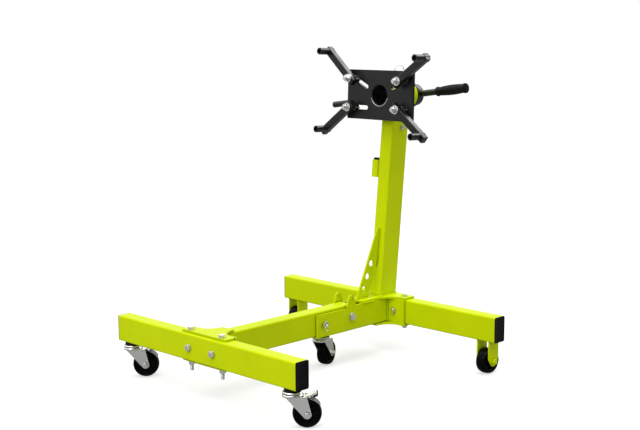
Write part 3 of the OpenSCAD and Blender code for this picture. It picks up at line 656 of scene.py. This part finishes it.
def threads():
    """Thread crests on every bolt end that shows past its nut."""
    for node, (body, x, length) in DECK_BOLTS.items():
        for side, label in ((-1, "left"), (1, "right")):
            foot = Vector((side * x * MM, middle(node).y, low(node).z + CHAMFER * MM))
            thread(f"thread_{node}_{label}", foot, Z, M10, length, body)
    for node, (body, x, length) in FACE_BOLTS.items():
        for side, label in ((-1, "left"), (1, "right")):
            foot = Vector((side * x * MM, high(node).y - CHAMFER * MM, middle(node).z))
            thread(f"thread_{node}_{label}", foot, -Y, M10, length, body)
    pivot = middle("pivot_sleeve")
    foot = Vector((low("pivot_bolt").x + CHAMFER * MM, pivot.y, pivot.z))
    thread("thread_pivot_bolt", foot, X, M12, 3.2, "base")
    for side in ("left", "right"):
        for level in ("upper", "lower"):
            name = f"{level}_{side}"
            start = Vector(joints[name + "_arm_swing"]["pos_m"])
            thread(f"thread_{name}_bolt", start - HEAD_AXIS * 48.0 * MM, HEAD_AXIS, M12, 5.4,
                   name + "_bolt")


threads()

# ------------------------------------------------------------------ end plugs


def plug(name, centre, out, body):
    """A moulded end plug: a soft-edged rim around a shallow panel."""
    rings = ((22.5, 37.5, 5.0, -2.9), (22.5, 37.5, 5.0, -1.0), (22.3, 37.3, 4.8, -0.4),
             (21.7, 36.7, 4.2, -0.05), (20.4, 35.4, 3.2, 0.0), (19.2, 34.2, 2.6, -0.25),
             (18.4, 33.4, 2.4, -0.7), (9.0, 22.0, 2.0, -0.45), (1.0, 8.0, 0.8, -0.35))
    verts = []
    for half_w, half_h, corner, height in rings:
        verts += rounded_loop(centre + out * height * MM, Y, Z, half_w, half_h, corner)
    count = len(verts) // len(rings)
    faces = loops_to_faces(len(rings), count, False)
    faces.append(tuple(range((len(rings) - 1) * count, len(rings) * count)))
    faces.append(tuple(range(count)))
    return add_piece(name, verts, faces, "black_plastic", body, 28)


for beam, beam_body in (("front_beam", "front_frame"), ("rear_beam", "base")):
    plugs_low, plugs_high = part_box(beam + "_plugs")
    plugs_mid = middle(beam + "_plugs")
    for plug_x, outward, end_label in ((plugs_low.x, -X, "left"), (plugs_high.x, X, "right")):
        plug_at = Vector((plug_x, plugs_mid.y, plugs_mid.z))
        end_plug = plug(f"{beam}_plug_{end_label}", plug_at, outward, beam_body)
        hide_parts(beam + "_plugs")

# ------------------------------------------------------------------ caster guards and pedals


PEDAL_SLOPE = math.radians(19)


def caster_trim(name):
    """A curved guard over the wheel's outer side and a rubber pad on the brake pedal."""
    wheel_at = Vector(joints[name + "_roll"]["pos_m"])
    swivel = Vector(joints[name + "_swivel"]["pos_m"])
    ahead = Vector((wheel_at.x - swivel.x, wheel_at.y - swivel.y, 0)).normalized()
    side = Z.cross(ahead)
    verts, steps = [], 20
    for i in range(steps + 1):
        turn = math.radians(32 + 46 * i / steps)
        out = ahead * math.cos(turn) + Z * math.sin(turn)
        width = 15.5 - 3.0 * (1 - min(1, i / 4)) ** 2
        for r, w in ((38.7, -width), (39.9, -width + 0.5), (40.3, 0), (39.9, width - 0.5),
                     (38.7, width), (38.9, 0)):
            verts.append(wheel_at + out * r * MM + side * w * MM)
    faces = loops_to_faces(steps + 1, 6, False)
    faces += [tuple(range(6)), tuple(range(6 * steps, 6 * steps + 6))]
    add_piece(name + "_guard", verts, faces, "black_plastic", name + "_caster", 40, "grey_plastic")

    hinge_at = Vector(joints[name + "_brake_press"]["pos_m"])
    along = ahead * math.cos(PEDAL_SLOPE) + Z * math.sin(PEDAL_SLOPE)
    rise = side.cross(along)
    if rise.z < 0:
        rise = -rise
    outline = [(22.4, -1.6), (22.0, -4.2), (22.6, -5.6), (24.0, -6.4), (32.6, -6.4),
               (34.6, -5.4), (35.6, -3.6), (35.6, 1.2), (35.2, 2.0), (34.1, 2.0), (34.1, -1.6)]
    verts = []
    for w, edge in ((-14.8, 0.5), (-14.2, 0.0), (14.2, 0.0), (14.8, 0.5)):
        for a, b in outline:
            a_in, b_in = a + (28.4 - a) * edge * 0.08, b + (-2.4 - b) * edge * 0.25
            verts.append(hinge_at + along * a_in * MM + rise * b_in * MM + side * w * MM)
    count = len(outline)
    faces = loops_to_faces(4, count, False)
    faces += [tuple(range(count)), tuple(range(3 * count, 4 * count))]
    add_piece(name + "_pedal_pad", verts, faces, "grip_rubber", name + "_brake", 40)


# Tops of the dust caps, just under what each caster hangs from, in millimetres
CAP_TOP = {"base": 97.8, "front_frame": 102.8}


def swivel_race(name, frame_body):
    """Two rolled rings with a black ring between them as painted shade in the gap, and a black dust cap above."""
    swivel = Vector(joints[name + "_swivel"]["pos_m"])
    foot = Vector((swivel.x, swivel.y, 0))
    lower = [(24.3, 80.6), (25.6, 80.6), (26.4, 81.8), (26.7, 84.0), (26.2, 86.4), (25.0, 87.6),
             (20.5, 87.6), (20.5, 83.0), (24.3, 83.0)]
    # Painted shade: a black ring fills the gap between the races.
    gap_shade = [(20.5, 87.7), (24.2, 87.7), (24.4, 88.4), (24.2, 89.1), (20.5, 89.1)]
    upper = [(20.5, 89.2), (24.6, 89.2), (25.5, 90.2), (25.7, 91.8), (25.0, 93.6), (23.4, 94.6),
             (20.5, 94.6)]
    for label, profile, slot in (("lower_race", lower, "zinc_plate"),
                                 ("race_gap_shade", gap_shade, "black_plastic"),
                                 ("upper_race", upper, "zinc_plate")):
        add_piece(f"{name}_{label}", *lathe(profile, foot, Z, 64), slot, name + "_caster", 60)
    cap_top = CAP_TOP[frame_body]
    profile = [(20.1, 95.0), (21.9, 95.0), (22.5, 95.6), (21.8, 96.6), (21.2, cap_top),
               (20.1, cap_top)]
    add_piece(name + "_dust_cap", *lathe(profile, foot, Z, 64), "black_plastic", frame_body, 40)


caster_trim("front_left")
caster_trim("front_right")
swivel_race("front_left", "front_frame")
swivel_race("front_right", "front_frame")
swivel_race("centre", "base")

# ------------------------------------------------------------------ floor, light, camera


def floor():
    """A pale floor, wide enough to reach the horizon."""
    size, parts = 60.0, 24
    grid = bmesh.new()
    bmesh.ops.create_grid(grid, x_segments=parts, y_segments=parts, size=size)
    mesh = bpy.data.meshes.new("floor")
    grid.to_mesh(mesh)
    grid.free()
    piece = bpy.data.objects.new("floor", mesh)
    bpy.context.scene.collection.objects.link(piece)
    graph = Graph("pale_floor")
    path = graph.add("ShaderNodeLightPath")
    seen, bounced = (0.48, 0.48, 0.48, 1), (0.36, 0.36, 0.36, 1)
    colour = graph.mix(path.outputs["Is Camera Ray"], bounced, seen)
    rough = graph.span(graph.noise(3, 2), 0.80, 0.90)
    glow = graph.span(path.outputs["Is Camera Ray"], 0.0, 0.60, 0, 1)
    mesh.materials.append(graph.finish(Base_Color=colour, Roughness=rough, Specular_IOR_Level=0.0,
                                       Emission_Color=(1, 1, 1, 1), Emission_Strength=glow))


SKY_BRIGHT_SIDE = (-0.55, 0.05, 0.83)   # where polished surfaces see the brightest sky
SKY_DIFFUSE = 0.45
SKY_MIRRORED = 1.7


def sky():
    """White to the camera, softer as a light, and uneven in reflections."""
    world = bpy.data.worlds.new("studio")
    world.use_nodes = True
    bpy.context.scene.world = world
    tree = world.node_tree
    path = tree.nodes.new("ShaderNodeLightPath")
    way = tree.nodes.new("ShaderNodeTexCoord")
    lean = tree.nodes.new("ShaderNodeVectorMath")
    lean.operation = "DOT_PRODUCT"
    lean.inputs[1].default_value = SKY_BRIGHT_SIDE
    tree.links.new(way.outputs["Generated"], lean.inputs[0])
    mirrored = tree.nodes.new("ShaderNodeMapRange")
    for key, value in (("From Min", -0.20), ("From Max", 0.95), ("To Min", 0.0),
                       ("To Max", SKY_MIRRORED)):
        mirrored.inputs[key].default_value = value
    tree.links.new(lean.outputs["Value"], mirrored.inputs["Value"])
    choice = tree.nodes.new("ShaderNodeMix")
    choice.inputs["A"].default_value = SKY_DIFFUSE
    tree.links.new(path.outputs["Is Glossy Ray"], choice.inputs["Factor"])
    tree.links.new(mirrored.outputs["Result"], choice.inputs["B"])
    strength = tree.nodes.new("ShaderNodeMix")
    tree.links.new(path.outputs["Is Camera Ray"], strength.inputs["Factor"])
    tree.links.new(choice.outputs["Result"], strength.inputs["A"])
    strength.inputs["B"].default_value = 1.0
    tree.nodes["Background"].inputs["Color"].default_value = (1, 1, 1, 1)
    tree.links.new(strength.outputs["Result"], tree.nodes["Background"].inputs["Strength"])


def softbox(name, place, target, size, power):
    """A round area light at place, turned to target; size in metres, power in watts."""
    light = bpy.data.lights.new(name, "AREA")
    light.shape = "DISK"
    light.size = size
    light.energy = power
    lamp = bpy.data.objects.new(name, light)
    bpy.context.scene.collection.objects.link(lamp)
    place, target = Vector(place), Vector(target)
    lamp.matrix_world = (Matrix.Translation(place)
                         @ (target - place).to_track_quat("-Z", "Y").to_matrix().to_4x4())


def overhead(direction, strength, angle):
    """The key light: a wide, even overhead panel."""
    light = bpy.data.lights.new("key", "SUN")
    light.energy = strength
    light.angle = math.radians(angle)
    lamp = bpy.data.objects.new("key", light)
    bpy.context.scene.collection.objects.link(lamp)
    lamp.rotation_euler = Vector(direction).to_track_quat("Z", "Y").to_euler()


def camera():
    """A long lens in front of the stand's right side, a little above it."""
    turn, dip, roll = (math.radians(a) for a in (CAMERA_TURN, CAMERA_DIP, CAMERA_ROLL))
    ahead = Vector((-math.sin(turn) * math.cos(dip), math.cos(turn) * math.cos(dip),
                    -math.sin(dip)))
    level = Vector((math.cos(turn), math.sin(turn), 0))
    lift = level.cross(ahead)
    right = level * math.cos(roll) + lift * math.sin(roll)
    up = lift * math.cos(roll) - level * math.sin(roll)
    data = bpy.data.cameras.new("camera")
    data.lens = CAMERA_LENS
    data.sensor_width = 36
    data.clip_end = 200
    eye = bpy.data.objects.new("camera", data)
    bpy.context.scene.collection.objects.link(eye)
    rotation = Matrix((right, up, -ahead)).transposed().to_4x4()
    eye.matrix_world = Matrix.Translation(Vector(CAMERA_PLACE)) @ rotation
    bpy.context.scene.camera = eye


CAMERA_PLACE = (2.46622, low("front_beam").y - 2.04517, 1.00638)
CAMERA_TURN, CAMERA_DIP, CAMERA_ROLL = 44.55, 8.89, -0.28
CAMERA_LENS = 68.8
floor()
sky()
overhead((0.14, -0.30, 0.90), 1.42, 50)
softbox("front", (0.1, -3.0, 2.1), (0.0, -0.4, 0.2), 1.6, 25)
softbox("back", (0.4, 3.6, 3.6), (0, 0.3, 0.7), 2.6, 88)
camera()
bpy.context.scene.view_settings.view_transform = "Standard"
